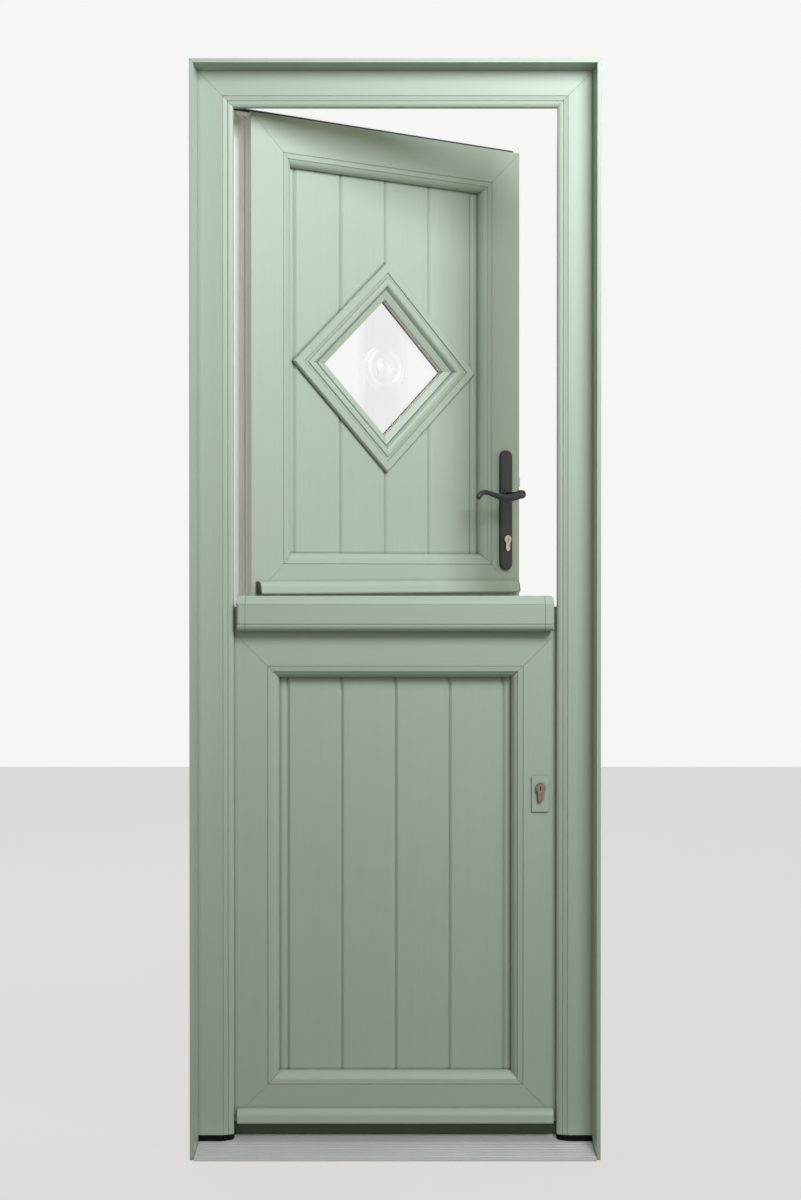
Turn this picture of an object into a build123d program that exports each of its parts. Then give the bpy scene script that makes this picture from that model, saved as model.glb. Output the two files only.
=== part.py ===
from build123d import *
import math
import os

# Stable door in two leaves, with its frame. Millimetres, +X to the right seen from
# outside, +Y inwards, +Z up. Origin: on the floor, centred in the frame's width, in the
# plane of the frame's exterior face.

# Overall size, over the projecting trim
overall_width = 766.0
overall_height = 2050.0

# Trim: a thin lip that projects from the frame's outer edge
trim_projection = 40.0
trim_thickness = 8.0
trim_front = 7.5
trim_root = 11.0
trim_leg = 30.0

# Frame profile
frame_depth = 70.0
frame_web = 51.0
stop_width = 18.5
stop_depth = 17.0
outer_quirk = 19.5
inner_quirk = 10.5
quirk_width = 1.5
quirk_depth = 1.2
stop_step = 2.5
stop_recess = 8.0

# Threshold
threshold_nose = 46.0
nose_height = 3.0
ridge_height = 21.5
deck_height = 27.0
jamb_foot = 33.0
upstand_height = 41.0
upstand_depth = 40.0
threshold_wall = 2.2
rib_pitch = 6.6
rib_width = 2.0
rib_count = 6
rib_start = 5.3
rib_depth = 1.0
sweep_seal_thickness = 6.0

# Leaf profile
seal_gap = 3.0
leaf_depth = 70.0
side_lap = 6.5
head_lap = 3.5
flange_reach = 20.0
flange_thickness = 17.0
stile_face = 69.5
bead_width = 21.5
bead_facet = 10.5
panel_recess = 25.0
panel_thickness = 28.0
glazing_lap = 15.0
hardware_groove_from = 16.0
hardware_groove_width = 18.5
hardware_groove_depth = 4.0
leaf_edge_break = 1.0
bead_step = 1.0
bead_round = 3.5

# Leaf heights
leaf_bottom = 53.0
lower_leaf_height = 934.0
leaf_gap = 55.0

# Grooved panel
plank_grooves = 5
plank_margin = 15.0
plank_groove_width = 10.0
plank_groove_depth = 3.0
panel_clearance = 2.0

# Meeting bar on the lower leaf
bar_front = 28.0
bar_drop = 2.5
bar_top_rise = 64.5
bar_slope_rise = 48.0
bar_face_bottom = 12.0
bar_cap_length = 16.5
bar_end_gap = 6.5
bar_rebate_rise = 43.0
bar_top_width = 4.0
bar_break = 0.8
bar_nose_round = 4.0
bar_nose_back = 13.0
cap_radius = 6.0

# Drip bars
drip_projection = 20.0
drip_height = 25.0
lower_drip_rise = 0.5
upper_drip_rise = 11.5
drip_groove = 1.5

# Diamond window
diamond_margin = 8.9
diamond_border = 52.5
diamond_rise = 10.4
diamond_rim = 2.5
channel_from = 16.0
channel_to = 22.0
channel_depth = 2.0
ovolo_from = 29.5
ovolo_to = 34.0
ovolo_drop = 2.4
scoop_to = 38.0
scoop_rise = 1.6
splay_from = 40.0
splay_rise = 3.0
diamond_lip = 1.5
unit_thickness = 20.0
pane_thickness = 4.0
pane_lap = 11.0
pane_clearance = 1.0
spacer_width = 9.5
bullseye_radius = 39.0
bullseye_boss = 12.0
bullseye_rise = 2.4
bullseye_ring_rise = 1.6
bullseye_ring_width = 7.0

# Locks
lock_backset = 37.0
spindle_rise = 214.0
spindle_to_cylinder = 92.0
spindle_to_latch = 30.0
spindle_to_bolt = 52.0
lower_cylinder_drop = 300.0
lower_cylinder_to_bolt = 39.0
case_below_cylinder = 48.0
case_above_bolt = 30.0
case_above_latch = 24.0
cylinder_radius = 8.5
cylinder_height = 33.0
cylinder_tail = 10.0
plug_radius = 6.5
keyway_width = 1.6
keyway_depth = 8.0
case_depth = 50.0
case_thickness = 15.0
forend_width = 16.0
forend_thickness = 3.0
forend_margin = 40.0
latch_throw = 16.0
latch_tail = 12.0
latch_width = 12.0
latch_tall = 20.0
latch_flat = 2.0
latch_bevel = 0.75
bolt_throw = 20.0
bolt_width = 10.0
bolt_tall = 32.0
bolt_body = 28.0
strike_thickness = 3.0
strike_width = 28.0
strike_margin = 22.0
hole_clearance = 1.5
overrun = 1.0
running_clearance = 0.05
fit_clearance = 0.25

# Lever furniture
plate_width = 29.0
plate_height = 250.0
plate_thickness = 9.0
spindle_to_plate_centre = 31.0
plate_chamfer = 2.5
boss_radius = 12.0
boss_height = 4.0
lever_standoff = 50.0
neck_radius = 6.5
lever_length = 105.0
lever_dip = 7.0
lever_crest = 4.0
lever_root = 7.4
lever_tip = 4.0
lever_flatness = 0.8
lever_stations = 9
lever_sides = 16
shoulder_radius = 9.0
shoulder_rise = 7.0
shoulder_chamfer = 3.0
spindle_seat = 0.2
spindle_side = 8.0
upper_cylinder_proud = 3.0
escutcheon_width = 32.0
escutcheon_height = 68.0
escutcheon_thickness = 3.0
escutcheon_radius = 2.5
cylinder_to_escutcheon_centre = 11.0
lower_cylinder_proud = 9.0

# Flag hinges on the inside
hinge_axis_offset = 29.0
hinge_axis_proud = 9.0
hinge_radius = 8.0
pin_radius = 4.0
hinge_height = 92.0
hinge_gap = 0.5
hinge_flag_width = 62.0
hinge_flag_thickness = 5.0
hinge_end_distance = 150.0
frame_plate_width = 16.0
frame_plate_thickness = 4.0
hinge_arm_reach = 8.0
hinge_arm_overlap = 2.0
hinge_arm_drop = 12.0
hinge_web_gap = 1.5
flag_gap = 3.0
flag_corner = 6.0
pin_end = 2.0

# Bolt that ties the two leaves together, on the inside
tie_place = 150.0
tie_rod_radius = 5.0
tie_standoff = 11.0
tie_plate_width = 34.0
tie_plate_thickness = 3.0
tie_plate_margin = 6.0
tie_plate_height = 88.0
tie_guide_height = 16.0
tie_guide_wall = 4.0
tie_rod_length = 96.0
tie_knob_radius = 7.0
tie_keep_height = 20.0
tie_keep_plate_drop = 12.0
tie_plate_corner = 5.0
tie_knob_gap = 2.0
tie_knob_length = 8.0
tie_stem_length = 5.0
tie_rod_chamfer = 1.0

# Seals
seal_thickness = 2.7
seal_width = 6.0
seal_inset = 1.0
seal_taper = 1.0

# Wall fixings through the jambs
fixing_radius = 4.0
fixing_depth_from_front = 44.0
fixing_spacing = 460.0
fixing_from_floor = 180.0
fixing_from_top = 142.0

# Rest position: the upper leaf stands partly open
rest_opening = 30.8

# Positions that follow from the sizes above
frame_half = overall_width / 2 - trim_thickness
frame_top = overall_height - trim_thickness
stop_half = frame_half - frame_web - stop_width
wall_half = frame_half - frame_web
head_stop = frame_top - frame_web - stop_width
leaf_front = stop_depth + seal_gap
leaf_back = leaf_front + leaf_depth
leaf_half = stop_half + side_lap
flange_front = leaf_back - flange_thickness
lower_leaf_top = leaf_bottom + lower_leaf_height
upper_leaf_bottom = lower_leaf_top + leaf_gap
upper_leaf_top = head_stop + head_lap
panel_front = leaf_front + panel_recess
panel_back = panel_front + panel_thickness
unit_front = panel_front + (panel_thickness - unit_thickness) / 2
unit_back = unit_front + unit_thickness
inner_edge = flange_reach + stile_face + bead_width
rebate_inset = inner_edge - glazing_lap
opening_half = leaf_half + flange_reach - inner_edge
plank_pitch = 2 * (opening_half - plank_margin) / (plank_grooves - 1)
diamond_side = (opening_half - diamond_margin) * math.sqrt(2)
lock_x = leaf_half - lock_backset
spindle_height = upper_leaf_bottom + spindle_rise
lower_cylinder_height = lower_leaf_top - lower_cylinder_drop
upper_cylinder_height = spindle_height - spindle_to_cylinder
plate_centre_height = spindle_height - spindle_to_plate_centre
latch_height = spindle_height + spindle_to_latch
upper_bolt_height = spindle_height - spindle_to_bolt
lower_bolt_height = lower_cylinder_height + lower_cylinder_to_bolt
escutcheon_centre_height = lower_cylinder_height - cylinder_to_escutcheon_centre
case_middle = leaf_front + hardware_groove_from + hardware_groove_width / 2
groove_floor = leaf_half - hardware_groove_depth
latch_rear = groove_floor - latch_tail - latch_throw
bolt_rear = groove_floor + forend_thickness - bolt_body
hinge_x = -(leaf_half + hinge_axis_offset)
hinge_y = leaf_back + hinge_axis_proud
diamond_centre = (upper_leaf_bottom + upper_leaf_top) / 2
bar_top = lower_leaf_top + bar_top_rise
bar_half = stop_half - bar_end_gap
beyond = 2 * overall_height


def outline(start, *steps):
    """Face on the XY plane. A step is a point, or (middle, end) for an arc."""
    edges = []
    here = start
    for step in steps:
        if isinstance(step[0], tuple):
            edges.append(ThreePointArc(here, step[0], step[1]))
            here = step[1]
        else:
            edges.append(Line(here, step))
            here = step
    edges.append(Line(here, start))
    return Face(Wire(edges))


def upright(face, height):
    """Extrude a face on the XY plane along +Z."""
    return extrude(face, height, dir=(0, 0, 1))


def along_x(face, x_from, x_to):
    """Extrude a (Y, Z) face between two X positions."""
    plane = Plane(origin=(x_from, 0, 0), x_dir=(0, 1, 0), z_dir=(1, 0, 0))
    return plane.location * upright(face, x_to - x_from)


def along_y(face, y_from, y_to):
    """Extrude an (X, Z) face between two Y positions."""
    plane = Plane(origin=(0, y_to, 0), x_dir=(1, 0, 0), z_dir=(0, -1, 0))
    return plane.location * upright(face, y_to - y_from)


def block(x_from, x_to, y_from, y_to, z_from, z_to):
    """Box between two corners."""
    size = (x_to - x_from, y_to - y_from, z_to - z_from)
    centre = Pos((x_from + x_to) / 2, (y_from + y_to) / 2, (z_from + z_to) / 2)
    return centre * Box(*size)


def rod_y(x, z, radius, y_from, y_to):
    """Cylinder along Y."""
    return Pos(x, (y_from + y_to) / 2, z) * Rot(90, 0, 0) * Cylinder(radius, y_to - y_from)


def rod_z(x, y, radius, z_from, z_to):
    """Cylinder along Z."""
    return Pos(x, y, (z_from + z_to) / 2) * Cylinder(radius, z_to - z_from)


def mitred_bar(section, length, reach, mitre_start=True, mitre_end=True):
    """Bar along +Z of an (inset, depth) section, its ends cut at 45 degrees."""
    low = reach if mitre_start else 0
    high = length - reach if mitre_end else length
    cutter = along_y(outline((0, 0), (reach, low), (reach, high), (0, length)), -beyond, beyond)
    return upright(section, length) & cutter


def ring(section, x_half, z_from, z_to, reach):
    """Four mitred members round an opening: left, top, right and bottom."""
    tall = mitred_bar(section, z_to - z_from, reach)
    wide = mitred_bar(section, 2 * x_half, reach)
    return [
        Pos(-x_half, 0, z_from) * tall,
        Pos(-x_half, 0, z_to) * Rot(0, 90, 0) * wide,
        Pos(x_half, 0, z_to) * Rot(0, 180, 0) * tall,
        Pos(x_half, 0, z_from) * Rot(0, -90, 0) * wide,
    ]


def arch(section, x_half, z_from, z_to, reach):
    """Left leg, head and right leg, square at the floor and mitred at the top."""
    height = z_to - z_from
    left = mitred_bar(section, height, reach, mitre_start=False)
    head = mitred_bar(section, 2 * x_half, reach)
    right = mitred_bar(section, height, reach, mitre_end=False)
    return [
        Pos(-x_half, 0, z_from) * left,
        Pos(-x_half, 0, z_to) * Rot(0, 90, 0) * head,
        Pos(x_half, 0, z_to) * Rot(0, 180, 0) * right,
    ]


# Frame

def frame_section():
    """Jamb and head: flat face, two quirks, a quarter-round stop and a rebate."""
    edge = frame_web + stop_width
    first = edge - outer_quirk
    second = edge - inner_quirk
    half = quirk_width / 2
    return outline(
        (0, 0),
        (first - half, 0),
        (first, quirk_depth),
        (first + half, quirk_depth / 2),
        (second - half, stop_step),
        (second, stop_step + quirk_depth),
        (second + half, stop_step + quirk_depth / 2),
        ((edge - inner_quirk / 4, (stop_step + stop_recess) / 2), (edge, stop_recess)),
        (edge, stop_depth),
        (frame_web, stop_depth),
        (frame_web, frame_depth),
        (0, frame_depth),
    )


def frame_members():
    """Jambs and head with their wall fixings and the pockets behind the strikes."""
    reach = frame_web + stop_width
    hinge_jamb, head, lock_jamb = arch(
        frame_section(), frame_half, jamb_foot, frame_top, reach)
    for height in fixing_heights():
        hole = Pos(0, fixing_depth_from_front, height) * Rot(0, 90, 0)
        drill = hole * Cylinder(fixing_radius, 2 * beyond)
        hinge_jamb -= drill & block(-beyond, 0, -beyond, beyond, 0, beyond)
        lock_jamb -= drill & block(0, beyond, -beyond, beyond, 0, beyond)
    pocket_end = leaf_half + bolt_throw + hole_clearance
    for low, high, width in strike_holes():
        half = width / 2 + hole_clearance
        lock_jamb -= block(wall_half - overrun, pocket_end, case_middle - half,
                           case_middle + half, low, high)
    return hinge_jamb, head, lock_jamb


def fixing_heights():
    """Two pairs of fixings in each jamb, one from the floor and one from the top."""
    top = frame_top - fixing_from_top
    low = fixing_from_floor
    return low, low + fixing_spacing, top - fixing_spacing, top


def strike_holes():
    """Lowest point, highest point and bolt width of each hole for a bolt."""
    holes = []
    for height, tall, width in (
        (latch_height, latch_tall, latch_width),
        (upper_bolt_height, bolt_tall, bolt_width),
        (lower_bolt_height, bolt_tall, bolt_width),
    ):
        half = tall / 2 + hole_clearance
        holes.append((height - half, height + half, width))
    return holes


def strike(holes):
    """Plate on the jamb's rebate wall, with a hole for each bolt."""
    low = min(hole[0] for hole in holes) - strike_margin
    high = max(hole[1] for hole in holes) + strike_margin
    front = wall_half - strike_thickness
    plate = block(front, wall_half, case_middle - strike_width / 2,
                  case_middle + strike_width / 2, low, high)
    plate = fillet(plate.edges().filter_by(Axis.X), strike_thickness)
    for bottom, top, width in holes:
        half = width / 2 + hole_clearance
        plate -= block(front - overrun, wall_half + overrun, case_middle - half, case_middle + half,
                       bottom, top)
    return plate


def trim_members():
    """Lip with a tapered inner face and a leg along the frame's outer side."""
    section = outline(
        (0, -trim_projection),
        (trim_front, -trim_projection),
        (trim_root, 0),
        (trim_thickness, 0),
        (trim_thickness, trim_leg),
        (0, trim_leg),
    )
    return arch(section, overall_width / 2, 0, overall_height, trim_root)


def threshold_outline():
    """Threshold in section: a sloping nose, a ramp and a flat deck."""
    return outline(
        (-threshold_nose, 0),
        (-threshold_nose, nose_height),
        (0, ridge_height),
        (leaf_front, deck_height),
        (frame_depth, deck_height),
        (frame_depth, 0),
    )


def threshold_plan():
    """Outline from above: the nose narrows to fit between the tapered trim."""
    gap = fit_clearance
    side = frame_half
    root = overall_width / 2 - trim_root - gap
    tip = overall_width / 2 - trim_front - gap
    return outline(
        (side, frame_depth),
        (side, 0),
        (root, 0),
        (tip, -trim_projection),
        (tip, -threshold_nose),
        (-tip, -threshold_nose),
        (-tip, -trim_projection),
        (-root, 0),
        (-side, 0),
        (-side, frame_depth),
    )


def threshold():
    """Extruded aluminium threshold: ribbed nose, ramp, upstand and hollow chambers."""
    body = along_x(threshold_outline(), -beyond, beyond)
    slope = (ridge_height - nose_height) / threshold_nose
    for index in range(rib_count):
        y = -(rib_start + index * rib_pitch)
        z = ridge_height + slope * y
        half = rib_width / 2
        notch = outline((y - half, z + overrun), (y, z - rib_depth), (y + half, z + overrun))
        body -= along_x(notch, -beyond, beyond)
    for chamber in threshold_chambers(slope):
        body -= along_x(chamber, -beyond, beyond)
    body &= upright(threshold_plan(), deck_height)
    upstand = block(-wall_half + fit_clearance, wall_half - fit_clearance,
                    frame_depth - upstand_depth, frame_depth, deck_height, upstand_height)
    return body + upstand


def threshold_chambers(slope):
    """Hollows of the extrusion, under the nose, the ramp and the deck."""
    wall = threshold_wall
    skin = wall + rib_depth
    front = -threshold_nose * 0.6
    middle = -wall * 2
    nose = outline((front, wall), (middle, wall), (middle, ridge_height + slope * middle - skin),
                   (front, ridge_height + slope * front - skin))
    ramp = outline((middle + wall, wall), (leaf_front - wall, wall),
                   (leaf_front - wall, deck_height - 2 * wall),
                   (middle + wall, ridge_height - 2 * wall))
    top = deck_height - wall
    deck = outline((leaf_front, wall), (frame_depth - wall, wall),
                   (frame_depth - wall, top), (leaf_front, top))
    return nose, ramp, deck


def threshold_seal():
    """Rubber strip on the upstand's front that closes the gap under the lower leaf."""
    top = leaf_bottom - (seal_gap - seal_thickness)
    back = frame_depth - upstand_depth
    front = back - sweep_seal_thickness
    bulb = sweep_seal_thickness / 2
    section = outline(
        (back, deck_height),
        (front, deck_height),
        (front, top - bulb),
        (((front + back) / 2, top), (back, top - bulb)),
    )
    end = wall_half - fit_clearance
    return along_x(section, -end, end)


def threshold_pads():
    """Black packers of the jambs' own section, between the jambs and the threshold."""
    legs = arch(frame_section(), frame_half, 0, frame_top, frame_web + stop_width)
    foot = block(-beyond, beyond, -beyond, beyond, 0, jamb_foot)
    solid = along_x(threshold_outline(), -beyond, beyond)
    return [(legs[0] & foot) - solid, (legs[2] & foot) - solid]


def seal_strip(inset):
    """Section of a flat seal that starts at an inset."""
    return outline((inset, 0), (inset + seal_width, 0),
                   (inset + seal_width - seal_taper, seal_thickness),
                   (inset + seal_taper, seal_thickness))


def frame_seal():
    """Seal on the back of the stop, round both jambs and the head."""
    inset = frame_web + stop_width - seal_inset - seal_width
    members = arch(Pos(0, stop_depth, 0) * seal_strip(inset), frame_half,
                   jamb_foot, frame_top, frame_web + stop_width)
    return members[0] + members[1] + members[2]


# Leaves

def leaf_section():
    """Stile and rail: face, quirk, two-step bead, rebate, flange and hardware groove."""
    edge = flange_reach
    line = edge + stile_face
    facet = line + bead_facet
    groove = leaf_front + hardware_groove_from
    groove_end = groove + hardware_groove_width
    front = leaf_front
    return outline(
        (edge + leaf_edge_break, front),
        (line - quirk_width / 2, front),
        (line, front + quirk_depth),
        (line + quirk_width, front),
        (facet - quirk_width / 2, front + bead_step),
        (facet, front + bead_step + quirk_depth * 1.5),
        ((inner_edge - bead_round, front + panel_recess * 0.35),
         (inner_edge, panel_front - bead_round)),
        (inner_edge, panel_front),
        (rebate_inset, panel_front),
        (rebate_inset, leaf_back),
        (0, leaf_back),
        (0, flange_front),
        (edge, flange_front),
        (edge, groove_end),
        (edge + hardware_groove_depth, groove_end),
        (edge + hardware_groove_depth, groove),
        (edge, groove),
        (edge, front + leaf_edge_break),
    )


def leaf_members(z_from, z_to):
    """Left stile, top rail, right stile and bottom rail of one leaf."""
    return ring(leaf_section(), leaf_half + flange_reach, z_from - flange_reach,
                z_to + flange_reach, inner_edge)


def glazing_beads(z_from, z_to):
    """Four clip-in beads that hold a panel from the inside."""
    outer = leaf_half + flange_reach - rebate_inset
    margin = rebate_inset - flange_reach
    depth = leaf_back - panel_back
    section = outline(
        (0, 0),
        (glazing_lap, 0),
        (glazing_lap, depth * 0.4),
        ((glazing_lap * 0.75, depth * 0.8), (glazing_lap * 0.3, depth)),
        (0, depth),
    )
    return ring(Pos(0, panel_back, 0) * section, outer, z_from + margin, z_to - margin,
                glazing_lap)


def grooved_panel(z_from, z_to):
    """Flat panel with V grooves on both faces that divide it into planks."""
    margin = rebate_inset - flange_reach + panel_clearance
    half = leaf_half - margin
    low = z_from + margin
    high = z_to - margin
    panel = block(-half, half, panel_front, panel_back, low, high)
    reach = plank_groove_width / 2
    for index in range(plank_grooves):
        x = (index - (plank_grooves - 1) / 2) * plank_pitch
        for face, inwards in ((panel_front, 1), (panel_back, -1)):
            tip = face + inwards * plank_groove_depth
            notch = outline((x - reach, face), (x, tip), (x + reach, face))
            panel -= Pos(0, 0, low) * upright(notch, high - low)
    return panel


def leaf_seal(z_from, z_to):
    """Seal round the outer side of a leaf's flange."""
    back = flange_front - seal_thickness
    flipped = outline((seal_inset + seal_taper, back),
                      (seal_inset + seal_width - seal_taper, back),
                      (seal_inset + seal_width, flange_front), (seal_inset, flange_front))
    members = ring(flipped, leaf_half + flange_reach, z_from - flange_reach,
                   z_to + flange_reach, seal_inset + seal_width)
    return members[0] + members[1] + members[2] + members[3]


def drip_bar(z_from, x_half):
    """Weather bar: undercut bottom, steep front and rounded top."""
    p = drip_projection
    h = drip_height
    y = leaf_front
    section = outline(
        (y, z_from),
        (y - p * 0.3, z_from),
        (y - p * 0.35, z_from + drip_groove),
        (y - p * 0.5, z_from + drip_groove),
        (y - p * 0.55, z_from),
        (y - p * 0.75, z_from),
        ((y - p * 0.94, z_from + h * 0.04), (y - p, z_from + h * 0.16)),
        (y - p * 0.92, z_from + h * 0.6),
        ((y - p * 0.7, z_from + h * 0.89), (y - p * 0.25, z_from + h)),
        (y, z_from + h),
    )
    return along_x(section, -x_half, x_half)


# Meeting bar

def bar_nose_outline():
    """Front of the meeting bar: sloped top, quirk, face and rounded lower edge."""
    front = leaf_front - bar_front
    foot = lower_leaf_top - bar_drop
    crease = lower_leaf_top + bar_slope_rise
    bend = lower_leaf_top + bar_face_bottom
    return outline(
        (leaf_front, foot),
        (leaf_front, lower_leaf_top),
        (stop_depth, lower_leaf_top),
        (stop_depth, bar_top),
        (stop_depth - bar_top_width, bar_top),
        (front + quirk_depth, crease + quirk_width),
        (front + quirk_depth, crease),
        (front, crease - quirk_width),
        (front, bend),
        (front + bar_break, bend - bar_break),
        ((front + bar_nose_round, foot + bar_nose_round), (front + bar_nose_back, foot)),
    )


def meeting_bar():
    """Nose between the end caps, and the rebated body that sits on the top rail."""
    nose_half = bar_half - bar_cap_length
    nose = along_x(bar_nose_outline(), -nose_half, nose_half)
    rebate = lower_leaf_top + bar_rebate_rise
    body = block(-leaf_half, leaf_half, stop_depth, frame_depth, lower_leaf_top, rebate)
    ends = block(nose_half, leaf_half, stop_depth, leaf_front, lower_leaf_top, rebate)
    lip = block(-nose_half, nose_half, stop_depth - bar_top_width, stop_depth, rebate, bar_top)
    return nose + (body - ends - ends.mirror(Plane.YZ)) + lip


def bar_cap(side):
    """Moulded cap that rounds off one end of the nose."""
    inner = bar_half - bar_cap_length
    front = leaf_front - bar_front
    foot = lower_leaf_top - bar_drop
    cap = along_x(bar_nose_outline(), inner, bar_half)
    tall = block(inner, bar_half, front, leaf_front, foot, bar_top)
    corners = tall.edges().filter_by(Axis.Y).group_by(Axis.X)[-1]
    cap &= fillet(corners, cap_radius)
    plan = block(inner, bar_half, front, leaf_front, foot, bar_top)
    upright = plan.edges().filter_by(Axis.Z).group_by(Axis.X)[-1].group_by(Axis.Y)[0]
    cap &= fillet(upright, cap_radius)
    return cap if side > 0 else cap.mirror(Plane.YZ)


def bar_seal():
    """Seal on the back of the meeting bar's lip, for the foot of the upper leaf."""
    half = leaf_half - side_lap - bar_end_gap - bar_cap_length
    low = upper_leaf_bottom + seal_inset
    return block(-half, half, stop_depth, stop_depth + seal_thickness, low,
                 low + seal_width)


# Diamond window

def diamond_section():
    """Moulding: rounded rim, sunk channel, ovolo, scoop and a splay down to the glass."""
    rise = diamond_rise
    floor = channel_depth - rise
    seat = unit_front - panel_front
    tongue = diamond_border - pane_lap
    return outline(
        (0, 0),
        (0, -rise / 3),
        ((diamond_rim * 0.3, -rise * 0.8), (diamond_rim, -rise)),
        (channel_from - quirk_width / 2, -rise),
        (channel_from, floor),
        (channel_to, floor),
        (channel_to + quirk_width / 2, -rise),
        (ovolo_from, -rise),
        (((ovolo_from + ovolo_to) / 2, -rise + ovolo_drop * 0.3), (ovolo_to, ovolo_drop - rise)),
        (scoop_to, -scoop_rise),
        (splay_from, -splay_rise),
        (diamond_border, seat - diamond_lip),
        (diamond_border, seat),
        (tongue, seat),
        (tongue, 0),
    )


def diamond_ring(section, side, reach):
    """Square ring of four fused members, standing on one corner at the origin."""
    members = ring(section, side / 2, -side / 2, side / 2, reach)
    return Rot(0, 45, 0) * (members[0] + members[1] + members[2] + members[3])


def diamond_moulding():
    """Outside moulding, seated on the panel's face."""
    frame = diamond_ring(diamond_section(), diamond_side, diamond_border)
    return Pos(0, panel_front, diamond_centre) * frame


def diamond_plate(side, y_from, y_to):
    """Square plate that stands on one corner at the window's centre."""
    half = side / 2
    plate = block(-half, half, y_from, y_to, -half, half)
    return Pos(0, 0, diamond_centre) * Rot(0, 45, 0) * plate


def pane_side():
    """Side of the sealed unit."""
    return diamond_side - 2 * diamond_border + 2 * pane_lap


def bullseye_relief():
    """Half section of the spun relief: a domed boss inside a flat and an outer ring."""
    boss = bullseye_boss
    edge = bullseye_radius
    low = bullseye_rise / 5
    crest = edge - bullseye_ring_width / 2
    return outline(
        (0, 0),
        (0, bullseye_rise),
        (boss * 0.6, bullseye_rise * 0.8),
        (boss, low),
        (boss * 1.3, bullseye_ring_rise),
        (boss * 1.6, low),
        (edge - bullseye_ring_width, low),
        (crest, bullseye_ring_rise),
        (edge, 0),
    )


def bullseye_pane():
    """Outer pane with its spun bullseye."""
    pane = diamond_plate(pane_side(), unit_front, unit_front + pane_thickness)
    spun = revolve(bullseye_relief(), Axis.Y)
    return pane + Pos(0, unit_front, diamond_centre) * Rot(180, 0, 0) * spun


def window_parts():
    """Panes and spacer of the sealed unit."""
    back = unit_back - pane_thickness
    side = pane_side()
    inner = diamond_plate(side, back, unit_back)
    gap_front = unit_front + pane_thickness
    spacer = diamond_plate(side, gap_front, back)
    spacer -= diamond_plate(side - 2 * spacer_width, gap_front - overrun,
                            back + overrun)
    return bullseye_pane(), inner, spacer


# Locks

def euro_profile(x, z, grow):
    """Cylinder outline: a round head over a narrower tail."""
    radius = cylinder_radius + grow
    tail = cylinder_tail / 2 + grow
    foot = z + cylinder_radius - cylinder_height - grow
    head = Pos(x, z) * Circle(radius)
    slot = Pos(x, (z + foot + tail) / 2) * Rectangle(2 * tail, z - foot - tail)
    return head + slot + Pos(x, foot + tail) * Circle(tail)


def cylinder_hole(z, grow):
    """Cutter in the shape of a lock cylinder, right through the leaf."""
    return along_y(euro_profile(lock_x, z, grow), -beyond, beyond)


def lock_cylinder(z, y_from, y_to):
    """Cylinder body, bored for its plug."""
    body = along_y(euro_profile(lock_x, z, 0), y_from, y_to)
    return body - rod_y(lock_x, z, plug_radius + running_clearance, y_from - overrun,
                        y_to + overrun)


def cylinder_plug(z, y_from, y_to):
    """Turning plug with a keyway in each end."""
    plug = rod_y(lock_x, z, plug_radius, y_from, y_to)
    half = keyway_width / 2
    for face in (y_from, y_to):
        plug -= block(lock_x - half, lock_x + half, face - keyway_depth,
                      face + keyway_depth,
                      z - plug_radius * 0.75, z + plug_radius * 0.5)
    return plug


def lock_case(low, high, cylinder_z, bolts, spindle_z=None):
    """Mortice case with its forend, bored for the cylinder, spindle and bolts."""
    half = case_thickness / 2
    case = block(groove_floor - case_depth, groove_floor, case_middle - half,
                 case_middle + half, low, high)
    edge = groove_floor + forend_thickness
    forend = block(groove_floor, edge, case_middle - forend_width / 2,
                   case_middle + forend_width / 2, low - forend_margin, high + forend_margin)
    body = case + forend - cylinder_hole(cylinder_z, fit_clearance)
    if spindle_z:
        body -= rod_y(lock_x, spindle_z, spindle_side * 0.75, -beyond, beyond)
    for bolt in bolts:
        body -= bolt_channel(*bolt)
    return body


def bolt_channel(height, tall, width, rear):
    """Straight channel in the case for a bolt, from its rearmost place to the forend."""
    gap = fit_clearance
    half = width / 2 + gap
    return block(rear - gap, beyond, case_middle - half, case_middle + half,
                 height - tall / 2 - gap, height + tall / 2 + gap)


def case_pocket(low, high):
    """Mortice in the stile for a lock case."""
    half = case_thickness / 2
    return block(groove_floor - case_depth, leaf_half, case_middle - half,
                 case_middle + half, low, high)


def latch_bolt():
    """Sprung latch with a bevelled nose, shown thrown."""
    half = latch_width / 2
    nose = groove_floor + forend_thickness + latch_throw
    tail = groove_floor - latch_tail
    bolt = outline(
        (tail, case_middle - half),
        (nose, case_middle - half),
        (nose, case_middle - half + latch_flat),
        (nose - latch_throw * latch_bevel, case_middle + half),
        (tail, case_middle + half),
    )
    return Pos(0, 0, latch_height - latch_tall / 2) * upright(bolt, latch_tall)


def dead_bolt(height):
    """Dead bolt, shown drawn back flush with the forend."""
    half = bolt_width / 2
    return block(bolt_rear, bolt_rear + bolt_body, case_middle - half, case_middle + half,
                 height - bolt_tall / 2, height + bolt_tall / 2)


def backplate(side):
    """Full-radius plate with its boss; side -1 is outside and +1 inside."""
    face = leaf_front if side < 0 else leaf_back
    shape = Pos(lock_x, plate_centre_height) * SlotOverall(plate_height, plate_width, 90)
    near, far = sorted((face, face + side * plate_thickness))
    plate = along_y(shape, near, far)
    rim = plate.faces().sort_by(Axis.Y)[0 if side < 0 else -1].edges()
    plate = chamfer(rim, plate_chamfer)
    top = face + side * (plate_thickness + boss_height)
    low, high = sorted((face + side * plate_thickness * 0.5, top))
    plate += rod_y(lock_x, spindle_height, boss_radius, low, high)
    plate -= rod_y(lock_x, spindle_height, neck_radius + fit_clearance, -beyond, beyond)
    return plate - cylinder_hole(upper_cylinder_height, fit_clearance)


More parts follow.
